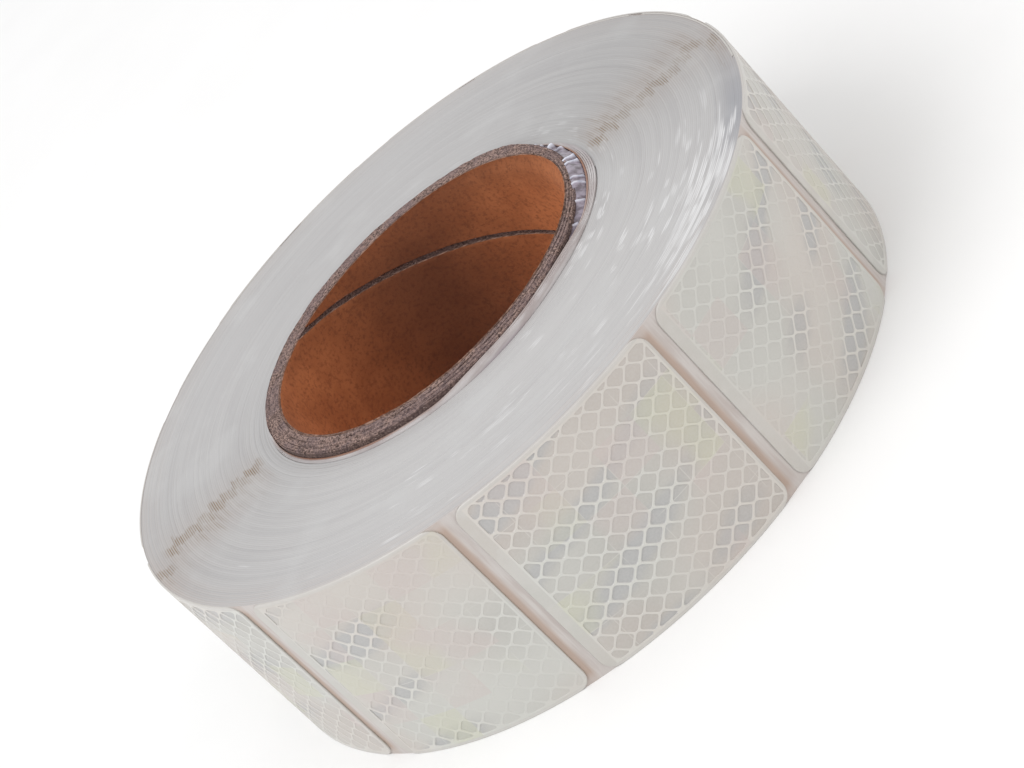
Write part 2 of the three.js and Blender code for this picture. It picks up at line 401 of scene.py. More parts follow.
def film_material():
    """White prismatic film: pale walls, grey cells with faint tints, and painted glare that hides them."""
    shader = Shader("prismatic_film")
    tape = shader.attribute("tape").outputs["Vector"]
    wall, tone, clear, band = [shader.value(name) for name in ("wall", "tone", "clear", "band")]
    warm = shader.steps(shader.noise(tape, 34, 1), 0.4, 0.6)
    floor = shader.mix(warm, shown(190, 189, 183), shown(195, 187, 180))
    floor = shader.mix(shader.math("MULTIPLY", tone, 0.3), floor, shown(182, 178, 171))
    # Painted shade: the cell floors of the strong bands are darker, for the shade of their deeper relief.
    floor = shader.mix(shader.math("MULTIPLY", band, 0.75), floor, shown(180, 181, 182))
    # Painted glare: where clear is low, the cells and the web take the same pale colour.
    glare_colour = shader.mix(warm, shown(206, 206, 200), shown(207, 201, 194))
    floor = shader.mix(clear, glare_colour, floor)
    web = shader.mix(warm, shown(215, 215, 209), shown(216, 211, 204))
    web = shader.mix(clear, glare_colour, web)
    tile_lines = shader.math("MAXIMUM", *[
        shader.steps(shader.math("PINGPONG", place, PRISM_TILE / 2), 0.05, 0.11, 1, 0)
        for place in shader.parts(tape)[:2]])
    tile_lines = shader.math("MULTIPLY", tile_lines, shader.steps(shader.noise(tape, 12, 1), 0.45, 0.6))
    floor = shader.mix(shader.math("MULTIPLY", tile_lines, 0.7), floor, web)
    colour = shader.mix(wall, floor, web)
    tints = ((16, 0.45, shown(205, 206, 178)), (21, 0.4, shown(205, 190, 186)))  # size, strength, colour
    for chance, (size, strength, tint) in zip(shader.tile_values(tape, PRISM_TILE), tints):
        cloud = shader.steps(shader.noise(tape, size, 1), 0.4, 0.6)
        tinted = shader.math("MULTIPLY", shader.steps(chance, 0.77, 0.8), cloud)
        colour = shader.mix(shader.math("MULTIPLY", tinted, strength), colour, tint)
    margin = shader.parts(shader.attribute("margin").outputs["Vector"])
    inside = [
        shader.math("SUBTRACT", distance, border - CELL_WALL)
        for distance, border in zip(margin, (START_BORDER, END_BORDER, SIDE_BORDER))]
    inside = shader.math("MINIMUM", shader.math("MINIMUM", inside[0], inside[1]), inside[2])
    border = shader.mix(warm, shown(199, 198, 192), shown(200, 195, 188))
    border = shader.over(border, shown(208, 205, 200), shader.noise(tape, 7, 2), 0.42, 0.6, 0.6)
    colour = shader.over(colour, border, inside, 0.12, -0.12, 0.9)
    # Painted highlight: a soft bright line along the tape's two side edges.
    colour = shader.over(colour, shown(214, 211, 207), margin[2], 1.0, 0.3, 0.5)
    grain = shader.noise(tape, 0.5, 2)
    colour = shader.over(colour, shown(211, 208, 206), grain, 0.3, 0.7, 0.22)
    wave = shader.bump(shader.noise(tape, 9, 2), 0.12 * MM, 0.5)
    normal = shader.bump(grain, 0.02 * MM, 0.4, wave)
    return shader.finish(colour, 0.42, normal, Coat_Weight=0.25, Coat_Roughness=0.2)


def winding_material():
    """The edges of many turns: white film, pinkish liner, tan opened layers and glossy streaks, with
    painted light and shade.
    """
    shader = Shader("wound_tape")
    tone, blush, is_liner, shine = [shader.value(name) for name in ("tone", "blush", "liner", "shine")]
    white = shader.over(shown(192, 191, 192), shown(207, 206, 206), tone, -1, 1)
    white = shader.mix(shader.math("MULTIPLY", blush, 0.7), white, shown(202, 190, 184))
    liner = shader.mix(blush, shown(196, 193, 192), shown(190, 172, 162))
    brown = shader.mix(is_liner, shown(118, 90, 42), shown(154, 118, 66))
    colour = shader.mix(is_liner, white, liner)
    # Painted shade in the grooves between the turns.
    colour = shader.mix(shader.value("groove"), colour, shown(168, 162, 160))
    # Painted shade: a blue-grey stretch of the outer edge.
    colour = shader.mix(shader.value("shade"), colour, shown(160, 162, 170))
    # Painted shade: the opened layers are painted brown, as the shade in the shallow gaps between them.
    colour = shader.mix(shader.value("open"), colour, brown)
    patches = shader.noise(shader.place(), 13, 2)
    colour = shader.over(colour, shown(211, 211, 211), patches, 0.5, 0.72, 0.35)
    # Painted highlight: the glossy streaks are painted near white, besides being less rough.
    colour = shader.mix(shine, colour, shown(246, 246, 247))
    smear = shader.noise(shader.attribute("grain").outputs["Vector"], 2.5, 3)
    colour = shader.over(colour, shown(186, 183, 185), smear, 0.5, 0.75, 0.2)
    # Painted shade on the sides that do not face the light.
    colour = shader.mix(shader.value("dim"), colour, BLACK)
    roughness = shader.steps(smear, 0.35, 0.65, 0.36, 0.55)
    roughness = shader.math("SUBTRACT", roughness, shader.math("MULTIPLY", shine, 0.15))
    normal = shader.bump(shader.noise(shader.place(), 6, 2), 0.15 * MM, 0.4)
    return shader.finish(colour, roughness, normal, Coat_Weight=0.2, Coat_Roughness=0.2)


def liner_material():
    """Pinkish release liner, tan where a segment starts, and paler along its two edges."""
    shader = Shader("release_liner")
    tape = shader.attribute("tape").outputs["Vector"]
    gap = shader.value("gap")
    streaks = shader.noise(shader.place((1.5, 0.12, 1), tape), 1.2, 3)
    pale = shader.over(shown(194, 184, 179), shown(208, 202, 198), streaks, 0.3, 0.7)
    tan = shader.mix(streaks, shown(174, 154, 141), shown(194, 172, 158))
    # Tan in a band from the middle of each gap towards the next segment's start.
    tan_share = shader.math("MULTIPLY", shader.steps(gap, -0.3, 1.1), shader.steps(gap, 6, 2.2))
    colour = shader.mix(tan_share, pale, tan)
    half = TAPE_WIDTH / MM / 2
    from_middle = shader.math("ABSOLUTE", shader.math("SUBTRACT", shader.parts(tape)[1], half))
    colour = shader.over(colour, shown(208, 202, 199), from_middle, half - 3, half - 0.6, 0.55)
    return shader.finish(
        colour, 0.45, shader.bump(streaks, 0.05 * MM, 0.4), Coat_Weight=0.15, Coat_Roughness=0.2)


def starter_material():
    """The soft pinkish edge of bare liner inside the white turns, brown where its rim is scuffed, with
    painted side shade.
    """
    shader = Shader("starter_liner")
    grain = shader.attribute("grain").outputs["Vector"]
    fleck = shader.noise(grain, 0.9, 3)
    colour = shader.over(shown(200, 190, 189), shown(220, 215, 215), fleck, 0.35, 0.65)
    colour = shader.over(colour, shown(166, 150, 160), shader.noise(grain, 3.1, 2), 0.56, 0.7, 0.5)
    colour = shader.mix(shader.value("rim"), colour, shown(172, 120, 92))
    # Painted shade on the sides that do not face the light.
    colour = shader.mix(shader.value("dim"), colour, BLACK)
    return shader.finish(colour, 0.5, shader.bump(fleck, 0.05 * MM, 0.4), Coat_Weight=0.15)


def pleat_material():
    """Crumpled clear film: a painted bluish white highlight on its folds, painted purple-grey shade between
    them.
    """
    shader = Shader("anchor_film")
    cloud = shader.noise(shader.place(), 1.6, 3)
    deep = shader.over(srgb(94, 82, 92), srgb(146, 136, 150), cloud, 0.35, 0.65)
    fold_highlight = shader.over(srgb(196, 200, 220), srgb(232, 235, 246), cloud, 0.35, 0.65)
    colour = shader.mix(shader.value("fold"), deep, fold_highlight)
    normal = shader.bump(cloud, 0.1 * MM, 0.4)
    return shader.finish(colour, 0.3, normal, Coat_Weight=0.4, Coat_Roughness=0.15)


def kraft_material():
    """Orange-brown kraft paper: mottled, with long fibres, darker deep in the bore with painted shade, torn
    at its edges.
    """
    shader = Shader("kraft_paper")
    mottle = shader.noise(shader.place(), 0.9, 4, 0.65)
    fibre = shader.noise(shader.attribute("grain").outputs["Vector"], 0.35, 3, 0.6)
    cloud = shader.noise(shader.place(), 9, 3)
    colour = shader.over(srgb(174, 102, 58), srgb(194, 118, 71), cloud, 0.35, 0.65)
    colour = shader.over(colour, srgb(122, 68, 38), mottle, 0.45, 0.68, 0.6)
    colour = shader.over(colour, srgb(194, 120, 70), fibre, 0.52, 0.72, 0.5)
    # Painted shade in the bore, by angle round it and by depth below its rim.
    colour = shader.mix(shader.value("shade"), colour, srgb(64, 30, 16))
    torn = shader.over(srgb(92, 66, 56), srgb(156, 124, 108), fibre, 0.4, 0.65)
    colour = shader.mix(shader.value("torn"), colour, torn)
    return shader.finish(colour, 0.9, shader.bump(shader.math("ADD", fibre, mottle), 0.1 * MM, 0.6))


def board_material():
    """The torn grey-brown edge of the board plies: ropes of fibre round it, with painted shade in the
    hollows and on the ply walls.
    """
    shader = Shader("core_board")
    rope = shader.noise(shader.attribute("grain").outputs["Vector"], 0.4, 4, 0.7)
    pulp = shader.noise(shader.place(), 0.3, 3, 0.6)
    cloud = shader.noise(shader.place(), 5, 2)
    height = shader.value("relief")
    colour = shader.over(srgb(56, 40, 37), srgb(162, 136, 127), rope, 0.38, 0.62)
    colour = shader.over(colour, srgb(106, 90, 94), cloud, 0.42, 0.6, 0.4)
    # Painted shade: darker where the relief is low, in the hollows of the torn face and on the ply walls.
    colour = shader.over(colour, srgb(58, 40, 36), height, -0.15, -0.9, 0.7)
    colour = shader.over(colour, srgb(166, 142, 134), height, 0.3, 0.9, 0.45)
    colour = shader.over(colour, srgb(188, 166, 158), pulp, 0.58, 0.72, 0.7)
    return shader.finish(colour, 0.95, shader.bump(rope, 0.18 * MM, 0.7))


MATERIALS = {  # by material slot
    "prismatic_film": film_material(),
    "wound_tape": winding_material(),
    "release_liner": liner_material(),
    "starter_liner": starter_material(),
    "anchor_film": pleat_material(),
    "kraft_paper": kraft_material(),
    "core_board": board_material(),
}


# The honeycomb film, laid out flat in millimetres: x along the tape, y across it

def inset_polygon(corners, distance):
    """A convex polygon, counter-clockwise, with each side moved in by a distance."""
    count = len(corners)
    lines = []
    for i in range(count):
        along = corners[(i + 1) % count] - corners[i]
        along = along / np.hypot(*along)
        lines.append((corners[i] + distance * np.array([-along[1], along[0]]), along))
    moved = []
    for i in range(count):
        (p, d), (q, e) = lines[i - 1], lines[i]
        cross = d[0] * e[1] - d[1] * e[0]
        t = ((q - p)[0] * e[1] - (q - p)[1] * e[0]) / cross
        moved.append(p + t * d)
    return np.array(moved)


def clip_polygon(corners, window):
    """The part of a polygon inside a convex window, both counter-clockwise."""
    for i in range(len(window)):
        a = window[i]
        side = window[(i + 1) % len(window)] - a
        beyond = side[0] * (corners[:, 1] - a[1]) - side[1] * (corners[:, 0] - a[0])
        if (beyond >= 0).all():
            continue
        kept = []
        for j in range(len(corners)):
            k = (j + 1) % len(corners)
            if beyond[j] >= 0:
                kept.append(corners[j])
            if (beyond[j] >= 0) != (beyond[k] >= 0):
                kept.append(corners[j] + (corners[k] - corners[j]) * beyond[j] / (beyond[j] - beyond[k]))
        if len(kept) < 3:
            return None
        corners = np.array(kept)
    return corners


def polygon_area(corners):
    x, y = corners[:, 0], corners[:, 1]
    return 0.5 * float(np.sum(x * np.roll(y, -1) - np.roll(x, -1) * y))


def tidy_polygon(corners, shortest):
    """The polygon without corners that almost coincide."""
    kept = [p for i, p in enumerate(corners) if np.hypot(*(p - corners[i - 1])) > shortest]
    return np.array(kept)


def rounded_polygon(corners, cut, steps=3):
    """Each corner replaced by a short curve that starts and ends a cut's length from it."""
    made = []
    count = len(corners)
    for i in range(count):
        corner = corners[i]
        before = corners[i - 1] - corner
        after = corners[(i + 1) % count] - corner
        before = before * min(0.45, cut / np.hypot(*before))
        after = after * min(0.45, cut / np.hypot(*after))
        for t in np.linspace(0, 1, steps):
            made.append(corner + before * (1 - t) ** 2 + after * t**2)
    return np.array(made)


def cell_window(length, width, radius=BORDER_RADIUS, steps=6):
    """The part of a segment that holds cells: a rectangle with round corners, counter-clockwise."""
    left, right = START_BORDER + radius, length - END_BORDER - radius
    low, high = SIDE_BORDER + radius, width - SIDE_BORDER - radius
    corners = []
    centres = ((right, low, -90), (right, high, 0), (left, high, 90), (left, low, 180))
    for x, y, start in centres:
        for angle in np.linspace(start, start + 90, steps) * DEGREE:
            corners.append((x + radius * math.cos(angle), y + radius * math.sin(angle)))
    return np.array(corners)


def honeycomb_cells(length, width, shift):
    """The cells' outlines on a segment: hexagons, cut off at the border."""
    across, along = CELL_PITCH_ACROSS / 2, CELL_PITCH_ALONG / 2
    hexagon = np.array([
        (along - CELL_TIP, 0), (CELL_TIP, across), (-CELL_TIP, across),
        (-(along - CELL_TIP), 0), (-CELL_TIP, -across), (CELL_TIP, -across),
    ])
    cell = inset_polygon(hexagon, CELL_WALL / 2)
    window = cell_window(length, width)
    cells = []
    for column in range(-1, int(length / along) + 2):
        for row in range(-1, int(width / across) + 2):
            if (column + row) % 2:
                continue
            centre = np.array([shift[0] + column * along, shift[1] + row * across])
            outline = clip_polygon(cell + centre, window)
            if outline is None:
                continue
            outline = tidy_polygon(outline, SHORTEST_CELL_SIDE)
            if len(outline) < 3 or polygon_area(outline) < SMALLEST_CELL:
                continue
            cells.append(rounded_polygon(outline, CELL_ROUNDING))
    return cells


def segment_outline(length, width, corner):
    """A segment's outline: a rectangle with round corners, with points at stations along its sides."""
    turned = np.linspace(0, math.pi / 2, CORNER_STEPS + 1)
    along = corner * (1 - np.cos(turned))
    drawn_in = corner * (1 - np.sin(turned))
    middle_count = int((length - 2 * corner) / STATION_SPACING) + 1
    middle = np.linspace(corner, length - corner, middle_count)[1:-1]
    stations = np.concatenate([along, middle, (length - along)[::-1]])
    insets = np.concatenate([drawn_in, np.zeros(len(middle)), drawn_in[::-1]])
    lower = np.stack([stations, insets], axis=1)
    upper = np.stack([stations, width - insets], axis=1)
    return np.concatenate([lower, upper[::-1]])


def shrink_outline(outline, distance):
    """A smooth closed outline moved in by a distance."""
    along = np.roll(outline, -1, axis=0) - np.roll(outline, 1, axis=0)
    along /= np.hypot(along[:, 0], along[:, 1])[:, None]
    return outline + distance * np.stack([-along[:, 1], along[:, 0]], axis=1)


class FlatSheet:
    """Points with a place on the tape, a depth and looks, and the faces between them."""

    def __init__(self):
        self.places, self.depths, self.walls, self.tones, self.faces = [], [], [], [], []
        self.flat_faces = []  # faces that keep their own normal

    def add_ring(self, outline, depth, wall, tone):
        first = len(self.places)
        for place in outline:
            self.places.append(place)
            self.depths.append(depth)
            self.walls.append(wall)
            self.tones.append(tone)
        return list(range(first, len(self.places)))

    def bridge(self, upper, lower):
        """Side faces between two rings with the same number of points, the upper one outside."""
        count = len(upper)
        for i in range(count):
            k = (i + 1) % count
            self.flat_faces.append(len(self.faces))
            self.faces.append([upper[i], lower[i], lower[k], upper[k]])


class Glare:
    """How clearly a segment's honeycomb shows, from 0 (lost in painted glare) to 1, and its strong bands.
    """

    def __init__(self, rng, length, angle):
        self.rng_seed = int(rng.integers(1 << 30))
        self.length = length
        worst, best = CLEAR_LEVELS
        self.level = worst + (best - worst) * math.cos(2 * (angle - CLEAREST_ANGLE)) ** 2
        self.side = math.copysign(1, math.sin(CLEAREST_ANGLE - angle))
        self.phase = rng.uniform(0, math.tau)

    def __call__(self, x, y):
        rng = np.random.default_rng(self.rng_seed)
        cloud = wave_field(rng, x, y, HAZE_SIZE)
        stripe = np.cos((y + BAND_SLANT * x) * math.tau / BAND_SPACING + self.phase)
        away = x / self.length if self.side > 0 else 1 - x / self.length
        reach = eased(away + 0.12 * cloud, 0.42 - 0.6 * self.level, 0.8 - 0.4 * self.level)
        band = eased(stripe + 0.35 * cloud, 0.15, 0.85) * reach
        clear = np.clip(self.level + 0.85 * band + 0.22 * cloud, 0, 1)
        return clear, band


def honeycomb_sheet(length, width, corner, shift, rng, glare):
    """One film segment laid flat: its web, sunken cells, bevelled edge and underside."""
    sheet = FlatSheet()
    outline = segment_outline(length, width, corner)
    thickness = (LINER_DEPTH - SNUG) / MM
    bottom = sheet.add_ring(outline, thickness, 1, 0)
    middle = sheet.add_ring(outline, EDGE_BEVEL, 1, 0)
    top = sheet.add_ring(shrink_outline(outline, EDGE_BEVEL), 0, 1, 0)
    sheet.bridge(middle, bottom)
    sheet.bridge(top, middle)
    half = len(outline) // 2
    for i in range(half - 1):
        sheet.faces.append([bottom[i], bottom[2 * half - 1 - i], bottom[2 * half - 2 - i], bottom[i + 1]])

    loops = [top]
    for outline in honeycomb_cells(length, width, shift):
        tone = rng.uniform(0, 1)
        centre = outline.mean(axis=0)
        clear, band = glare(*centre)
        depth = CELL_DEPTH * (HAZY_DEPTH + (1 - HAZY_DEPTH) * clear + BAND_DEPTH * band)
        spread = np.hypot(*(outline - centre).T)[:, None]
        slope = CELL_SLOPE * (1 + BAND_SLOPE_GAIN * band)
        sunk = centre + (outline - centre) * (1 - slope / spread)
        rim = sheet.add_ring(outline, 0, 1, tone)
        floor = sheet.add_ring(sunk, depth, 0, tone)
        middle_point = sheet.add_ring([centre], depth * rng.uniform(FLOOR_CROWN, 1), 0, tone)[0]
        sheet.bridge(floor, rim)
        for i in range(len(floor)):
            sheet.faces.append([floor[i], middle_point, floor[(i + 1) % len(floor)]][::-1])
        loops.append(rim)

    numbers = [point for loop in loops for point in loop]
    places = [Vector(sheet.places[point]) for point in numbers]
    ordinal = {point: i for i, point in enumerate(numbers)}
    loops_in = [[ordinal[point] for point in loop] for loop in loops]
    _, _, web, sources, _, web_owners = delaunay_2d_cdt(places, [], loops_in, 1, 1e-6, True)
    for face, owners in zip(web, web_owners):
        if list(owners) == [0]:  # inside the segment's outline and outside every cell
            corners = [numbers[sources[point][0]] for point in face]
            upwards = polygon_area(np.array([sheet.places[point] for point in corners])) > 0
            sheet.faces.append(corners if upwards else corners[::-1])
    return sheet


def wrap_segment(name):
    """A segment's flat sheet wound onto the roll in its node's place."""
    start, end = node_runs(name)
    radius = turn_radius((start + end) / 2)
    length = (end - start) * radius / MM
    rng = np.random.default_rng(int(name[-2:]))
    width = TAPE_WIDTH / MM
    shift = rng.uniform(0, 1, 2) * (CELL_PITCH_ALONG, CELL_PITCH_ACROSS)
    glare = Glare(rng, length, FREE_END - (start + end) / 2)
    covered = start > math.tau - DEGREE
    corner = COVERED_CORNER_RADIUS if covered else SEGMENT_CORNER_RADIUS
    sheet = honeycomb_sheet(length, width, corner, shift, rng, glare)
    along, across = np.array(sheet.places).T
    nearest_end = np.minimum(along, length - along)
    raised = 0 if end > math.tau else END_LIFT * np.clip(1 - nearest_end / END_LIFT_LENGTH, 0, 1) ** 2
    runs = start + along * MM / radius
    points = spiral(runs, (np.array(sheet.depths) - raised) * MM, across * MM)
    tape = np.stack([start * radius / MM + along, across, np.zeros(len(along))], axis=1)
    clear, band = glare(along, across)
    margin = np.stack([along, length - along, np.minimum(across, width - across)], axis=1)
    attributes = {
        "tape": tape,
        "margin": margin,
        "wall": sheet.walls,
        "tone": sheet.tones,
        "clear": clear,
        "band": band,
    }
    piece = add_piece(
        "film_" + name[-2:], "prismatic_film", [name], points, outward(points, sheet.faces),
        body=None, attributes=attributes)
    shade_round(piece, sheet.flat_faces)
    return piece


def shade_round(piece, flat_faces):
    """Normals that follow the roll's roundness, except on the faces that keep their own."""
    mesh = piece.data
    vertices = np.array([v.co for v in mesh.vertices])
    outwards = vertices * (1, 1, 0)
    outwards /= np.linalg.norm(outwards, axis=1)[:, None]
    own = np.array([p.normal for p in mesh.polygons])
    sizes = np.array([p.loop_total for p in mesh.polygons])
    corner_face = np.repeat(np.arange(len(sizes)), sizes)
    corner_vertex = np.array([loop.vertex_index for loop in mesh.loops])
    normals = outwards[corner_vertex]
    side = np.sign(np.einsum("ij,ij->i", normals, own[corner_face]))
    normals = normals * side[:, None]
    keeps_own = np.isin(corner_face, list(flat_faces)) | (side == 0)
    normals[keeps_own] = own[corner_face][keeps_own]
    mesh.normals_split_custom_set(normals.tolist())


SEGMENT_RUNS = {name: node_runs(name) for name in SEGMENTS}
GAP_RUNS = np.array([
    (SEGMENT_RUNS[a][1] + SEGMENT_RUNS[b][0]) / 2 for a, b in zip(SEGMENTS, SEGMENTS[1:])])


def tape_place(run):
    """The point halfway across the tape at a run."""
    return Vector(spiral(run, 0, TAPE_WIDTH / 2))


def build_segments():
    pieces = {name: wrap_segment(name) for name in SEGMENTS}
    for name, piece in pieces.items():
        body = NODE_BODY[name]
        start, end = SEGMENT_RUNS[name]
        if body == "end_segment":
            lifted = start + (end - start) * (1 - PEEL_SHARE)
            tape_place(end)
            tape_place(lifted)
            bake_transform(piece)
        elif body == ROOT_BODY:
            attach(piece, body)
        else:
            bend_link(piece, body)


# The tail's pieces, left as they are wound

PEEL_SHARE = 0.65  # a share of the end segment, counted back from its end, at which a place on the tape is taken


def bend_link(piece, body):
    """Bakes the transform of a piece of one tail link into its mesh; the places taken at the ends of its
    liner are not used.
    """
    liner = next(node for node in BODY_NODES[body] if node.startswith("tail_liner"))
    start, end = node_runs(liner, LINER_DEPTH)
    tape_place(end)
    tape_place(start)
    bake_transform(piece)


# The release liner

LINER_STATION = 2.0 * MM
GAP_STATION = 0.25 * MM
GAP_REACH = 2.6 * MM
LINER_ROWS = 11
LINER_RIPPLE = 0.012 * MM


def liner_runs(start, end):
    """Runs for a liner's sections, close together in and beside each gap."""
    radius = turn_radius(start)
    runs = list(np.linspace(start, end, int((end - start) * radius / LINER_STATION) + 2))
    for gap in GAP_RUNS:
        runs.extend(gap + np.arange(-GAP_REACH, GAP_REACH, GAP_STATION) / radius)
    runs = np.unique(np.clip(runs, start, end))
    spaced = np.concatenate([[True], np.diff(runs) * radius > 0.1 * MM])
    spaced[-2] = spaced[-2] and (runs[-1] - runs[-2]) * radius > 0.1 * MM
    spaced[-1] = True
    return runs[spaced]


def liner_piece(name, start, end, nodes):
    rng = np.random.default_rng(40 + len(nodes[0]) + int(start * 10))
    runs = liner_runs(start, end)
    heights = np.linspace(0, TAPE_WIDTH, LINER_ROWS)
    ripple = rng.uniform(-1, 1, (len(runs), LINER_ROWS)) * LINER_RIPPLE
    outer = spiral(runs[:, None], LINER_DEPTH + np.abs(ripple), heights[None, :])
    inner = spiral(runs[:, None], TURN_PITCH - SNUG + 0 * ripple, heights[None, ::-1])
    sections = np.concatenate([outer, inner], axis=1)
    points, faces = sweep(sections, closed=False)
    distance = (runs[:, None] - GAP_RUNS[None, :]) * turn_radius(runs)[:, None] / MM
    nearest = distance[np.arange(len(runs)), np.abs(distance).argmin(axis=1)]
    along = np.repeat(runs * OUTER_RADIUS / MM, 2 * LINER_ROWS)
    across = np.tile(np.concatenate([heights, heights[::-1]]) / MM, len(runs))
    attributes = {
        "tape": np.stack([along, across, 0 * along], axis=1),
        "gap": np.repeat(nearest, 2 * LINER_ROWS),
    }
    return add_piece(name, "release_liner", nodes, points, faces, None, attributes, sharp=40)


def build_liners():
    tail = sorted(name for name in frame["nodes"] if name.startswith("tail_liner_"))
    ends = [node_runs(name, LINER_DEPTH)[1] for name in tail]
    slit = node_runs(tail[1], LINER_DEPTH)[0] - ends[0]
    ends = [0.0] + [end + slit / 2 for end in ends]
    for i, name in enumerate(tail):
        piece = liner_piece("liner_" + name[-2:], ends[i], ends[i + 1], [name])
        body = NODE_BODY[name]
        if i == 0:
            bend_end = SEGMENT_RUNS[SEGMENTS[0]][1]
            tape_place(ends[1])
            tape_place(bend_end)
            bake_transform(piece)
        else:
            bend_link(piece, body)
    last = SEGMENT_RUNS[SEGMENTS[-1]][1] + LAYER_CLEARANCE / OUTER_RADIUS
    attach(liner_piece("liner_roll", ends[-1], last, ["roll_liner"]), ROOT_BODY)
    return last


# The end faces of the inner turns: one spiral from the outside to the opening

LAYER_ROWS = (  # place across one turn, depth in millimetres, shares of liner, groove and opening
    (0.00, 0.012, 0.5, 1.0, 1.0),
    (0.12, 0.000, 0.0, 0.0, 1.0),
    (0.26, 0.000, 0.0, 0.0, 0.3),
    (0.62, 0.000, 0.0, 0.0, 0.05),
    (0.72, 0.012, 0.5, 1.0, 0.3),
    (0.86, 0.005, 1.0, 0.0, 0.85),
)
FACE_DEPTH = 0.05 * MM
OVAL_POWER = 1.7  # how quickly the turns go from the oval opening to the round outside
LAST_TURNS = 4  # the innermost turns thin out, so that the opening has no step
LAST_THINNING = 0.95
COLUMN_STEP = 1.5
SHINY_STEP = 0.75
FINE_STEP = 0.3
OPENED_BANDS = (  # angle, blush angle, radii from and to, shortest and longest dash, tan of the blush
    (-2, 0, 47 * MM, 79 * MM, 4.0 * MM, 8.0 * MM, 0.17),
    (-4, -6, 79 * MM, 84 * MM, 4.5 * MM, 8.0 * MM, 0.1),
    (181, 184, 50 * MM, 78 * MM, 4.5 * MM, 8.0 * MM, 0.07),
    (186, 188, 78 * MM, 84 * MM, 4.0 * MM, 7.0 * MM, 0.07),
)
BAND_REACH = 12
BLUSH_REACH = 9 * DEGREE
BAND_FADE = 1.5 * MM
OPENED_DEPTH = 0.06  # millimetres, as the other depths of the face here
SLOW_WAVE = (70 * DEGREE, 0.035)  # length and depth of the wander of a turn's edge
QUICK_WAVE = (17 * DEGREE, 0.02)
LINER_WAVE = (40 * DEGREE, 0.03)
FACE_SWELL = (6 * MM, 0.05)  # length across the turns and depth
OUTER_BLUSH = (74 * MM, 83 * MM)  # where the pinkish tone of the outer turns starts and is full
BLUE_EDGE_SHADE = (-27, 15, 0.75)  # angle and reach in degrees, and strength, of the painted blue-grey shade on a stretch of the outer edge
BLUE_EDGE_SHADE_RADII = (74 * MM, 81 * MM)
SHADED_SIDES = (  # angle and reach in degrees, and strength, of the painted shade on the sides that do not face the light
    (10, 38, 0.2),
    (188, 34, 0.14),
)
DRIFT_TURNS = 7  # the dashes drift sideways over this many turns, then jump back
DRIFT_WIDTH = 2.6 * MM
GROUP_SCATTER = 0.7 * MM
GROUP_STRENGTH = (0.75, 1.1)
DASH_SCATTER = 0.35 * MM
DASH_STRENGTH = (0.6, 1.1)
TAIL_AWAY = (1, 2.4)  # in half lengths of its dash, how far off a dash's faint tail lies
HIGHLIGHT_STREAKS = (  # painted highlight streaks: number, angle and its spread, radius and its spread, longest in degrees, strongest
    (75, -46, 8, 78.5 * MM, 2.4 * MM, 13, 1.0),
    (16, -42, 10, 49 * MM, 1.5 * MM, 7, 0.8),
    (24, -40, 14, 66 * MM, 6 * MM, 8, 0.7),
    (60, -92, 24, 68 * MM, 8 * MM, 5, 0.5),
    (24, 20, 20, 50 * MM, 4 * MM, 6, 0.4),
)


def winding_columns(first_run):
    """Angles unwound from the first run, closer together where the layers have opened or shine."""
    columns = list(np.arange(0, 360, COLUMN_STEP))
    for angle in (OPENED_BANDS[0][0], OPENED_BANDS[2][0]):
        middle = (FREE_END - first_run) / DEGREE - angle
        columns.extend((middle + np.arange(-BAND_REACH, BAND_REACH, FINE_STEP)) % 360)
    _, angle, spread, *_ = HIGHLIGHT_STREAKS[0]
    middle = (FREE_END - first_run) / DEGREE - angle
    columns.extend((middle + np.arange(-2 * spread, 2 * spread, SHINY_STEP)) % 360)
    columns = np.unique(np.round(columns, 3))
    spaced = np.concatenate([[True], np.diff(columns) > FINE_STEP / 2])
    return columns[spaced] * DEGREE


def turned_from(angle, middle):
    return (angle - middle + math.pi) % math.tau - math.pi


def around(angles, middle, reach, most):
    """A swelling round a ring, greatest at its middle angle. middle and reach are in degrees."""
    return most * np.exp(-((turned_from(angles, middle * DEGREE) / (reach * DEGREE)) ** 2))


def painted_side_shade(angles):
    """Painted shade: how much darker the turns are painted on the sides that do not face the light."""
    return sum(around(angles, *side) for side in SHADED_SIDES)


def opened_layers(rng, radius, angle, turns):
    """Where layers stand apart, as fine dashes one above another, painted brown as the shade in the gaps,
    and the blush beside them.
    """
    per_turn = len(LAYER_ROWS)
    opened = np.zeros(radius.shape)
    blush = np.zeros(radius.shape)
    for middle, beside, low, high, shortest, longest, tan in OPENED_BANDS:
        inside = eased(radius, low - BAND_FADE, low + BAND_FADE)
        inside = inside * eased(radius, high + BAND_FADE, high - BAND_FADE)
        away = turned_from(angle, beside * DEGREE)
        near = np.exp(-((away / BLUSH_REACH) ** 2)) * inside
        blush = np.maximum(blush, near)
        opened = np.maximum(opened, tan * near)
        away = turned_from(angle, middle * DEGREE) * radius
        side = math.copysign(1, math.sin((beside - middle) * DEGREE))
        for turn in range(turns):
            if turn % DRIFT_TURNS == 0:
                group_strength = rng.uniform(*GROUP_STRENGTH)
                group_place = rng.normal(0, GROUP_SCATTER)
            rows = slice(turn * per_turn, (turn + 1) * per_turn)
            drift = side * DRIFT_WIDTH * (turn % DRIFT_TURNS / DRIFT_TURNS - 0.5)
            place = group_place + drift + rng.normal(0, DASH_SCATTER)
            reach = rng.uniform(shortest, longest) / 2
            strength = min(1, group_strength * rng.uniform(*DASH_STRENGTH))
            dash = eased(np.abs(away[rows] - place), reach, 0.5 * reach) * strength * inside[rows]
            tail_place = place + side * rng.uniform(*TAIL_AWAY) * reach
            tail = eased(np.abs(away[rows] - tail_place), 1.6 * reach, 0.3 * reach) * 0.5 * inside[rows]
            opened[rows] = np.maximum(opened[rows], np.maximum(dash, tail * rng.uniform(0, 1)))
    return opened, blush


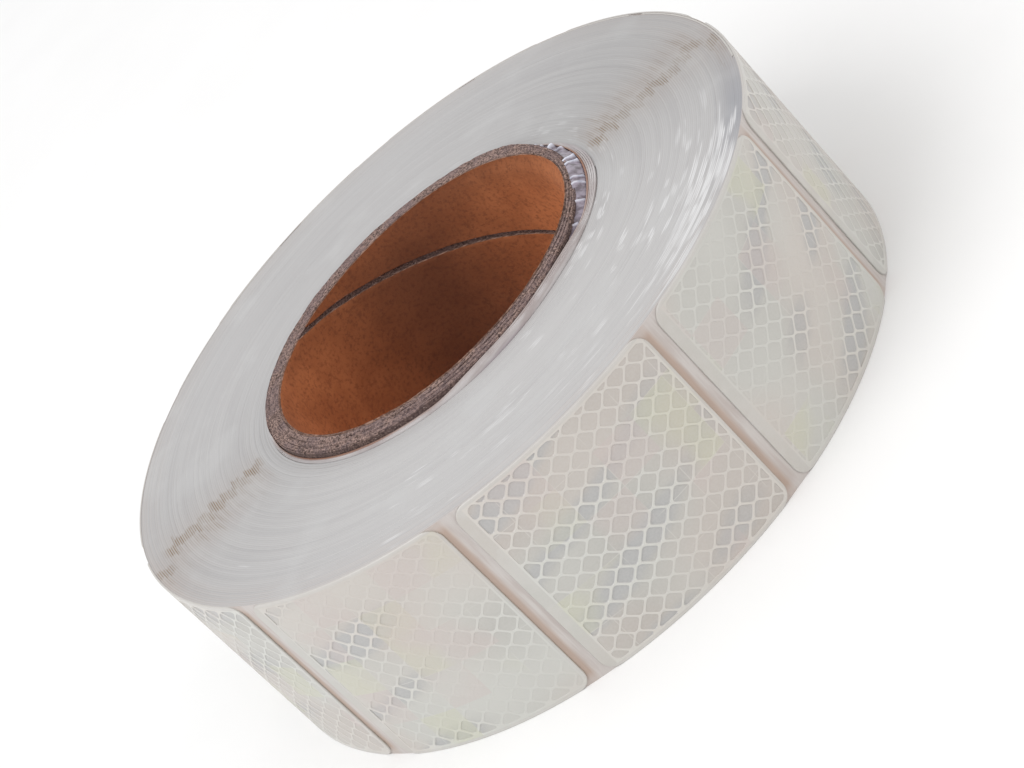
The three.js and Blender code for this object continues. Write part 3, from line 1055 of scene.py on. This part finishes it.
def painted_highlight_streaks(rng, radius, angle, first_radius):
    """Painted highlights: streaks of glossy film edge, painted near white, each a few turns deep and ragged
    at its ends.
    """
    per_turn = len(LAYER_ROWS)
    shine = np.zeros(radius.shape)
    for count, middle, spread, middle_radius, radius_spread, longest, strongest in HIGHLIGHT_STREAKS:
        for _ in range(count):
            first = int((first_radius - rng.normal(middle_radius, radius_spread)) / TURN_PITCH)
            last = first + rng.integers(1, 4)
            patch_place = rng.normal(middle, spread)
            patch_reach = rng.uniform(0.15, 0.5) * longest
            strength = rng.uniform(0.3, 1) * strongest
            for turn in range(max(first, 1), last):
                rows = slice(turn * per_turn, (turn + 1) * per_turn - rng.integers(0, 3))
                place = patch_place + rng.uniform(-0.5, 0.5) * patch_reach
                away = np.abs(turned_from(angle[rows], place * DEGREE)) / DEGREE
                streak = eased(away, patch_reach, 0.3 * patch_reach) * strength
                shine[rows] = np.maximum(shine[rows], streak)
    return shine


def winding_face(rng, first_run, columns, turns):
    """Radius, angle, depth and looks of one end face, row after row inwards."""
    per_turn = len(LAYER_ROWS)
    place, depth, liner, groove, opening_share = np.array(LAYER_ROWS).T
    count = (turns + 1) * per_turn + 1
    turn = np.arange(count) // per_turn
    part = np.arange(count) % per_turn
    runs = first_run + columns[None, :] + math.tau * turn[:, None]
    unwound = runs - first_run
    angle = FREE_END - runs
    last = math.tau * turns
    thinned = LAST_THINNING * TURN_PITCH * np.interp(
        unwound, [last - LAST_TURNS * math.tau, last, last + math.tau], [0, 1, 0])
    nominal = turn_radius(runs) - place[part][:, None] * TURN_PITCH - thinned
    first_radius = turn_radius(first_run)
    last_radius = turn_radius(first_run + last + math.tau)
    inwards = np.clip((first_radius - nominal) / (first_radius - last_radius), 0, None)
    opening = radius_by_angle("inner_turns", min)(angle)
    radius = nominal + (opening - last_radius) * inwards**OVAL_POWER

    slow = value_noise(rng, unwound, SLOW_WAVE[0])
    quick = value_noise(rng, unwound, QUICK_WAVE[0])
    own = value_noise(rng, unwound, LINER_WAVE[0])
    is_liner = liner[part][:, None] == 1
    opened, halo = opened_layers(rng, radius, angle, turns)
    opened = opened * opening_share[part][:, None]
    shine = painted_highlight_streaks(rng, radius, angle, first_radius)
    sunk = depth[part][:, None] + SLOW_WAVE[1] * slow + QUICK_WAVE[1] * quick
    sunk = sunk + np.where(is_liner, LINER_WAVE[1] * own, 0)
    sunk = sunk + FACE_SWELL[1] * np.sin(radius / FACE_SWELL[0]) * np.sin(columns * 2 + 1)[None, :]
    sunk = sunk + OPENED_DEPTH * opened
    outside = eased(radius, *OUTER_BLUSH)
    looks = {
        # Painted light: besides its random part, tone makes the turns brighter on the side that faces the
        # light.
        "tone": 0.5 * slow + 0.3 * quick + 0.6 * np.cos(angle - CLEAREST_ANGLE),
        "blush": np.clip(0.4 * outside * (0.6 + 0.5 * slow) + 0.5 * halo, 0, 1),
        "liner": np.broadcast_to(liner[part][:, None], radius.shape),
        # Painted shade in the grooves, stronger beside the opened layers.
        "groove": groove[part][:, None] * (0.04 + 0.03 * quick + 0.1 * halo),
        "open": opened,
        # Painted highlight streaks, weaker in the grooves.
        "shine": shine * np.where(groove[part][:, None] == 1, 0.55, 1) * (1 - 0.25 * np.abs(own)),
        "shade": around(angle, *BLUE_EDGE_SHADE) * eased(radius, *BLUE_EDGE_SHADE_RADII),
        "dim": painted_side_shade(angle),
    }
    return radius, angle, np.maximum(FACE_DEPTH + sunk * MM, 0), looks


def build_windings(first_run):
    rng = np.random.default_rng(7)
    per_turn = len(LAYER_ROWS)
    columns = winding_columns(first_run)
    width = len(columns)
    turns = int((turn_radius(first_run + math.tau) - node_radii("starter_turn")[1]) / TURN_PITCH)
    rows = turns * per_turn
    # The grid's rows are the layers' edges. Its last turn has only its first column, where the spiral ends.
    used = np.zeros(((turns + 1) * per_turn + 1, width), bool)
    used[:rows + 1] = True
    used[:rows + per_turn + 1, 0] = True
    number = np.full(used.shape, -1)
    number[used] = np.arange(used.sum())
    wrapped = np.concatenate([number[:rows + 1], number[per_turn:rows + per_turn + 1, :1]], axis=1)
    a, b = wrapped[:-1, :-1], wrapped[1:, :-1]
    c, d = wrapped[1:, 1:], wrapped[:-1, 1:]
    upper = np.stack([a, b, c, d], axis=-1).reshape(-1, 4)
    count = int(used.sum())
    lower = upper[:, ::-1] + count
    outer_loop = np.concatenate([number[0], number[per_turn:0:-1, 0]])
    inner_loop = np.concatenate([number[rows], number[rows + per_turn:rows:-1, 0]])
    outer_next, inner_next = np.roll(outer_loop, -1), np.roll(inner_loop, -1)
    outer_wall = np.stack([outer_loop, outer_next, outer_next + count, outer_loop + count], axis=1)
    inner_wall = np.stack([inner_loop, inner_loop + count, inner_next + count, inner_next], axis=1)
    faces = np.concatenate([upper, lower, outer_wall, inner_wall]).tolist()
    points, looks = [], {}
    for is_top in (True, False):
        radius, angle, sunk, face_looks = winding_face(rng, first_run, columns, turns)
        height = TAPE_WIDTH - sunk if is_top else sunk
        place = np.stack([radius * np.cos(angle), radius * np.sin(angle), height], axis=-1)
        points.append(place[used])
        for key, values in face_looks.items():
            looks.setdefault(key, []).append(values[used])
    points = np.concatenate(points)
    looks = {key: np.concatenate(values) for key, values in looks.items()}
    looks["grain"] = ring_grain(points, AXIS, stretch=12)
    add_piece("wound_turns", "wound_tape", ["inner_turns"], points, faces, attributes=looks, sharp=80)


# The bare liner at the start of the tape

STARTER_LAYERS = (  # inner and outer side as shares of the wall, drop of the rim, brownness of the rim
    (0.00, 0.15, 0.05, 1.0),
    (0.18, 0.36, 0.30, 0.2),
    (0.39, 0.57, 0.35, 0.0),
    (0.60, 0.78, 0.45, 0.0),
    (0.81, 1.00, 0.55, 0.0),
)
STARTER_PROUD_ANGLE = -72 * DEGREE  # the liner stands proud on this side, and is lower on the other
STARTER_LOWERED = 1.1 * MM
STARTER_LOOSE = (-14, 24, 1.4 * MM)  # angle, reach and distance by which its layers hang inwards
STARTER_ROWS = np.array([0, 0.25, 0.5, 0.75, 0.93, 0.99, 1.0])  # heights on each side of a layer
STARTER_COLUMN = 1.5  # degrees
STARTER_WAVE = 0.08 * MM
STARTER_SWAY = 0.02 * MM
SCUFFS = ((-150, 40), (-8, 30), (120, 25))  # middle and reach in degrees of each scuffed stretch of rim
LEAST_SCUFF = 0.12


def ring_sections(centre, angles, profile):
    """Sections round a vertical axis. profile gives radius and height of each point at each angle."""
    radius, height = profile
    x = centre.x + radius * np.cos(angles)[:, None]
    y = centre.y + radius * np.sin(angles)[:, None]
    return np.stack(np.broadcast_arrays(x, y, height), axis=-1)


def starter_inside(angles):
    """The starter liner's inner radius, less where its layers hang loose."""
    return radius_by_angle("starter_turn", min)(angles) - around(angles, *STARTER_LOOSE)


def build_starter():
    low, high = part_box("starter_turn")
    rng = np.random.default_rng(11)
    angles = np.arange(0, 360, STARTER_COLUMN) * DEGREE
    inner = starter_inside(angles)
    outer = radius_by_angle("starter_turn", max)(angles)
    scuff = np.maximum(LEAST_SCUFF, np.max([around(angles, *stretch, 1) for stretch in SCUFFS], axis=0))
    lowered = STARTER_LOWERED * eased(np.cos(angles - STARTER_PROUD_ANGLE), 0.97, 0.8)
    all_points, all_faces, rims = [], [], []
    for near, far, drop, brown in STARTER_LAYERS:
        wave = ring_noise(rng, angles, 1, 24)[0] * STARTER_WAVE
        sway = ring_noise(rng, angles, 1, 9)[0] * STARTER_SWAY
        inside = (inner + near * (outer - inner) + sway)[:, None] + 0 * STARTER_ROWS
        outside = (inner + far * (outer - inner) + sway)[:, None] + 0 * STARTER_ROWS
        top = high.z - drop * MM - lowered + wave
        side = low.z + (top - low.z)[:, None] * STARTER_ROWS
        radius = np.concatenate([inside, outside[:, ::-1]], axis=1)
        height = np.concatenate([side, side[:, ::-1]], axis=1)
        points, faces = sweep(ring_sections(AXIS, angles, (radius, height)), closed=True)
        offset = sum(len(p) for p in all_points)
        all_points.append(points)
        all_faces.extend([[v + offset for v in face] for face in faces])
        near_rim = eased(STARTER_ROWS, 0.975, 1)
        rim = np.concatenate([near_rim, near_rim[::-1]]) * brown
        rims.append((scuff[:, None] * rim).ravel())
    points = np.concatenate(all_points)
    attributes = {
        "rim": np.concatenate(rims),
        "grain": ring_grain(points, AXIS, stretch=9),
        "dim": painted_side_shade(np.arctan2(points[:, 1], points[:, 0])),
    }
    add_piece(
        "starter_layers", "starter_liner", ["starter_turn"], points, all_faces,
        attributes=attributes, sharp=40)


# The crumpled film in the crescent between the core and the starter liner

PLEATS = 11
PLEAT_COLUMN = 0.25  # degrees
PLEAT_ROWS = np.array([0, 0.15, 0.3, 0.45, 0.6, 0.75, 0.9, 1.0])  # places across the crescent
PLEAT_THICKNESS = 0.13 * MM
PLEAT_HEIGHT = 1.0 * MM
PLEAT_WIDTH = 0.42 * MM
PLEAT_CROWDING = 0.7  # below 1 the ridges crowd towards the end of the crescent
PLEAT_ROOM = 0.12 * MM
PLEAT_SLANT = 1.5  # degrees
PLEAT_SUNK = 0.1 * MM
PLEAT_CRUMPLE = 0.25 * MM
PLEAT_OVERLAP = (-14, 22, 1.0 * MM)  # angle, reach and distance by which it lies over the core's end


def core_circle(name):
    """Centre, inner radius and outer radius of one ply of the core."""
    low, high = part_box(name)
    centre = (low + high) / 2
    points = node_points(name)
    radii = np.hypot(points[:, 0] - centre.x, points[:, 1] - centre.y)
    return centre, radii.min(), radii.max()


def build_pleats():
    """A sheet with ridges across the crescent, and a skirt that hangs down inside the starter liner."""
    low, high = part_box("anchor_film")
    start, end = node_angles("anchor_film")
    centre, _, core_radius = core_circle("core_outer_ply")
    rng = np.random.default_rng(23)
    angles = np.arange(start, end, PLEAT_COLUMN * DEGREE)
    along_ray = centre.x * np.cos(angles) + centre.y * np.sin(angles)
    across_ray = centre.x * np.sin(angles) - centre.y * np.cos(angles)
    near = along_ray + np.sqrt(core_radius**2 - across_ray**2) + PLEAT_ROOM
    far = starter_inside(angles) - PLEAT_ROOM
    far = np.maximum(far, near + PLEAT_THICKNESS * 1.5)
    edge = near[:, None]
    near = near - around(angles, *PLEAT_OVERLAP)
    radius = near[:, None] + (far - near)[:, None] * PLEAT_ROWS
    fold = np.zeros(radius.shape)
    for i in range(PLEATS):
        share = (i + 0.5 + rng.uniform(-0.45, 0.45)) / PLEATS
        middle = start + (end - start) * share**PLEAT_CROWDING
        slant = rng.uniform(-PLEAT_SLANT, PLEAT_SLANT) * DEGREE
        width = PLEAT_WIDTH * rng.uniform(0.6, 1.3)
        away = (angles[:, None] - middle - slant * (PLEAT_ROWS - 0.5)) * radius / width
        fold = np.maximum(fold, np.exp(-(away**4)) * rng.uniform(0.45, 1))
    crumple = wave_field(rng, angles[:, None] * core_radius / MM, radius / MM, 2.2)
    top = high.z - PLEAT_SUNK - PLEAT_HEIGHT * (1 - fold) - PLEAT_CRUMPLE * (1 + crumple) / 2
    on_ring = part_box("core_board_ply_3")[1].z + PLEAT_THICKNESS + 0.2 * MM * fold
    climb = around(angles, *PLEAT_OVERLAP)[:, None] / PLEAT_OVERLAP[2]
    slope = np.clip((far[:, None] - radius) / (far[:, None] - edge), 0, 1)
    top = top + (on_ring - top) * climb * slope
    skirt = np.linspace(0, 1, 6)[1:]
    hanging = top[:, -1:] + (low.z - top[:, -1:]) * skirt
    outer_radius = np.concatenate([radius, far[:, None] + 0 * skirt], axis=1)
    outer_height = np.concatenate([top, hanging], axis=1)
    inside = (far - PLEAT_THICKNESS)[:, None]
    inner_radius = np.concatenate([np.minimum(radius, inside), inside + 0 * skirt], axis=1)
    inner_height = np.concatenate([top - PLEAT_THICKNESS, hanging], axis=1)
    section_radius = np.concatenate([outer_radius, inner_radius[:, ::-1]], axis=1)
    section_height = np.concatenate([outer_height, inner_height[:, ::-1]], axis=1)
    points, faces = sweep(ring_sections(AXIS, angles, (section_radius, section_height)), closed=False)
    # fold also sets where the film's colour paints highlight on the folds and shade between them.
    folds = np.concatenate([fold, 0.5 * fold[:, -1:] + 0 * skirt], axis=1)
    folds = np.concatenate([folds, folds[:, ::-1]], axis=1).ravel()
    add_piece(
        "pleated_film", "anchor_film", ["anchor_film"], points, faces,
        attributes={"fold": folds}, sharp=70)


# The paperboard core

SEAM_LEAD = 84 * MM
SEAM_WIDTH = 1.2 * MM
SEAM_ANGLE_AT_TOP = 130 * DEGREE
CORE_COLUMNS = 480
BORE_COLUMNS = 620
FIBRES_ROUND = (70, 230)  # coarse and fine fibres in one turn
PLY_ROWS = 8
WALL_ROWS = np.array([0.006, 0.3, 0.6, 0.85, 0.9, 0.94, 0.97, 0.994])  # heights on each side of a ply
# The ply walls get a low relief, which the board's colour paints as shade.
WALL_RELIEF = -0.75
FIBRE_RELIEF = 0.22 * MM
FRAY = 0.12 * MM
LIP_DEPTH = 4 * MM
LIP_PUSHED = (-8, 60, 2.4 * MM)  # angle, reach and distance by which the bore's rim is pushed outwards
LIP_SUNK = (108, 42, 0.8 * MM)  # angle, reach and distance by which it is pressed down
LIP_FLARED = (40, 20, 2.1 * MM)  # angle, reach and distance by which the outer plies lean out
DEEP_SHADE = (86, 42, 0.8)  # angle and reach in degrees, and strength, of the bore's shade below its rim
RIM_SHADE = (72, 85, 0.66)  # the same within a few millimetres of the rim
RIM_SHADE_DEPTH = 10 * MM


def torn_face(rng, angles, rows):
    """Relief from -1 to 1 of a torn paper edge: short fibres that run round the ring."""
    coarse, fine = [ring_noise(rng, angles, rows, count) for count in FIBRES_ROUND]
    return 0.65 * coarse + 0.5 * fine


def worn_lip(angles, radius, height):
    """The core's end after handling: its rim is pushed outwards on one side and down on another."""
    bore_radius = core_circle("core_bore_ply")[1]
    core_radius = core_circle("core_outer_ply")[2]
    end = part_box("core_bore_ply")[1].z
    share = np.clip((core_radius - radius) / (core_radius - bore_radius), 0, 1)
    share = share * eased(height, end - LIP_DEPTH, end)
    pushed = share * around(angles, *LIP_PUSHED)[:, None]
    sunk = share * around(angles, *LIP_SUNK)[:, None]
    flared = eased(radius, bore_radius, core_radius) * eased(height, TAPE_WIDTH, end)
    flared = flared * around(angles, *LIP_FLARED)[:, None]
    return radius + pushed + flared, height - sunk


def ply_sections(centre, inner, outer, angles, low, high, rng, fray=0.0):
    """Sections of a ply between two heights given at each angle, and the relief at their points."""
    across = np.linspace(0, 1, PLY_ROWS)
    relief = torn_face(rng, angles, PLY_ROWS).T
    under = torn_face(rng, angles, PLY_ROWS).T
    tall = high - low
    walls = low[:, None] + tall[:, None] * WALL_ROWS
    room = np.minimum(1, tall / (6 * FIBRE_RELIEF))[:, None]
    top = high[:, None] - (0.6 - 0.6 * relief) * FIBRE_RELIEF * room
    bottom = low[:, None] + (0.6 - 0.6 * under) * FIBRE_RELIEF * room
    faces = inner + (outer - inner) * across + 0 * relief
    frayed = faces.copy()
    frayed[:, 0] += fray * (1 + relief[:, 0])
    wall = np.ones((len(angles), len(WALL_ROWS)))
    radius = np.concatenate([inner * wall, frayed, outer * wall, faces[:, ::-1]], axis=1)
    height = np.concatenate([walls, top, walls[:, ::-1], bottom[:, ::-1]], axis=1)
    depth = np.concatenate([WALL_RELIEF * wall, relief, WALL_RELIEF * wall, under[:, ::-1]], axis=1)
    return ring_sections(centre, angles, worn_lip(angles, radius, height)), depth


def build_board_ply(name, seed):
    centre, inner, outer = core_circle(name)
    low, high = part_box(name)
    angles = np.arange(CORE_COLUMNS) * math.tau / CORE_COLUMNS
    rng = np.random.default_rng(seed)
    lowest, highest = np.full(len(angles), low.z), np.full(len(angles), high.z)
    sections, relief = ply_sections(centre, inner, outer, angles, lowest, highest, rng)
    points, faces = sweep(sections, closed=True)
    attributes = {"relief": relief.ravel(), "grain": ring_grain(points, centre, stretch=1.4)}
    add_piece(
        name.replace("core", "tube"), "core_board", [name], points, faces,
        attributes=attributes, sharp=75)


def build_bore_ply():
    """The inner kraft ply: a ribbon wound in a helix, whose two edges leave an open seam."""
    name = "core_bore_ply"
    centre, inner, outer = core_circle(name)
    low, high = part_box(name)
    tall = high.z - low.z
    end_angle = SEAM_ANGLE_AT_TOP + (SEAM_LEAD - SEAM_WIDTH / 2) / SEAM_LEAD * math.tau
    start_angle = SEAM_ANGLE_AT_TOP - (tall - SEAM_WIDTH / 2) / SEAM_LEAD * math.tau
    angles = np.linspace(start_angle + DEGREE, end_angle - DEGREE, BORE_COLUMNS)
    seam = high.z + (angles - SEAM_ANGLE_AT_TOP) / math.tau * SEAM_LEAD
    highest = np.minimum(high.z, seam - SEAM_WIDTH / 2)
    lowest = np.maximum(low.z, seam - SEAM_LEAD + SEAM_WIDTH / 2)
    rng = np.random.default_rng(31)
    sections, relief = ply_sections(centre, inner, outer, angles, lowest, highest, rng, FRAY)
    points, faces = sweep(sections, closed=False)
    # Painted shade for the kraft paper's colour.
    turned = np.arctan2(points[:, 1] - centre.y, points[:, 0] - centre.x)
    deep = eased(points[:, 2], high.z, high.z - RIM_SHADE_DEPTH)
    shade = around(turned, *DEEP_SHADE) * deep + around(turned, *RIM_SHADE) * (1 - deep)
    on_wall = relief == WALL_RELIEF
    on_wall[:, len(WALL_ROWS):] = False
    attributes = {
        "shade": shade,
        "torn": ~on_wall.ravel(),
        "grain": ring_grain(points, centre, stretch=3),
    }
    add_piece("bore_lining", "kraft_paper", [name], points, faces, attributes=attributes, sharp=60)


def build_core():
    build_bore_ply()
    plies = ("core_board_ply_1", "core_board_ply_2", "core_board_ply_3", "core_outer_ply")
    for seed, name in enumerate(plies):
        build_board_ply(name, 50 + seed)


build_segments()
last_run = build_liners()
build_windings(last_run)
build_starter()
build_pleats()
build_core()


# The studio

CAMERA_AZIMUTH = 0.87 * DEGREE
CAMERA_ELEVATION = 26.0 * DEGREE
CAMERA_ROLL = -44.5 * DEGREE
CAMERA_DISTANCE = 0.688
CAMERA_LENS = 112.1
CAMERA_SHIFT = (0.0089, -0.0109)
FLOOR_REACH = 12.0
WORLD_STRENGTH = 0.85


def direction(azimuth, elevation):
    """From the object towards a viewer. Azimuth 0 looks along +Y."""
    return Vector((
        math.sin(azimuth) * math.cos(elevation),
        -math.cos(azimuth) * math.cos(elevation),
        math.sin(elevation),
    ))


def build_camera():
    data = bpy.data.cameras.new("camera")
    data.lens = CAMERA_LENS
    data.shift_x, data.shift_y = CAMERA_SHIFT
    camera = place_object("camera", data)
    back = direction(CAMERA_AZIMUTH, CAMERA_ELEVATION)
    camera.location = Vector((0, 0, TAPE_WIDTH / 2)) + back * CAMERA_DISTANCE
    camera.rotation_mode = "QUATERNION"
    roll = Quaternion((0, 0, 1), CAMERA_ROLL)
    camera.rotation_quaternion = (-back).to_track_quat("-Z", "Y") @ roll
    bpy.context.scene.camera = camera


def build_light(name, azimuth, elevation, distance, size, power, colour=(1, 1, 1)):
    data = bpy.data.lights.new(name, "AREA")
    data.size = size
    data.energy = power
    data.color = colour
    light = place_object(name, data)
    back = direction(azimuth * DEGREE, elevation * DEGREE)
    light.location = back * distance
    light.rotation_mode = "QUATERNION"
    light.rotation_quaternion = (-back).to_track_quat("-Z", "Y")


def build_floor():
    mesh = bpy.data.meshes.new("floor")
    corners = [(x * FLOOR_REACH, y * FLOOR_REACH, 0) for x, y in ((-1, -1), (1, -1), (1, 1), (-1, 1))]
    mesh.from_pydata(corners, [], [(0, 1, 2, 3)])
    shader = Shader("floor_paint")
    grain = shader.noise(shader.place(), 40, 2)
    colour = shader.mix(grain, (0.9, 0.9, 0.9), (0.94, 0.94, 0.94))
    mesh.materials.append(shader.finish(colour, 0.8))
    place_object("floor", mesh)


def build_world():
    world = bpy.data.worlds.new("studio")
    bpy.context.scene.world = world
    world.use_nodes = True
    background = world.node_tree.nodes["Background"]
    background.inputs["Color"].default_value = (1, 1, 1, 1)
    background.inputs["Strength"].default_value = WORLD_STRENGTH
    bpy.context.scene.view_settings.view_transform = "Standard"


build_camera()
build_light("key", azimuth=-60, elevation=50, distance=1.6, size=1.2, power=11)
build_light("low_warm", azimuth=50, elevation=14, distance=1.8, size=1.0, power=5, colour=(1, 0.9, 0.83))
build_floor()
build_world()
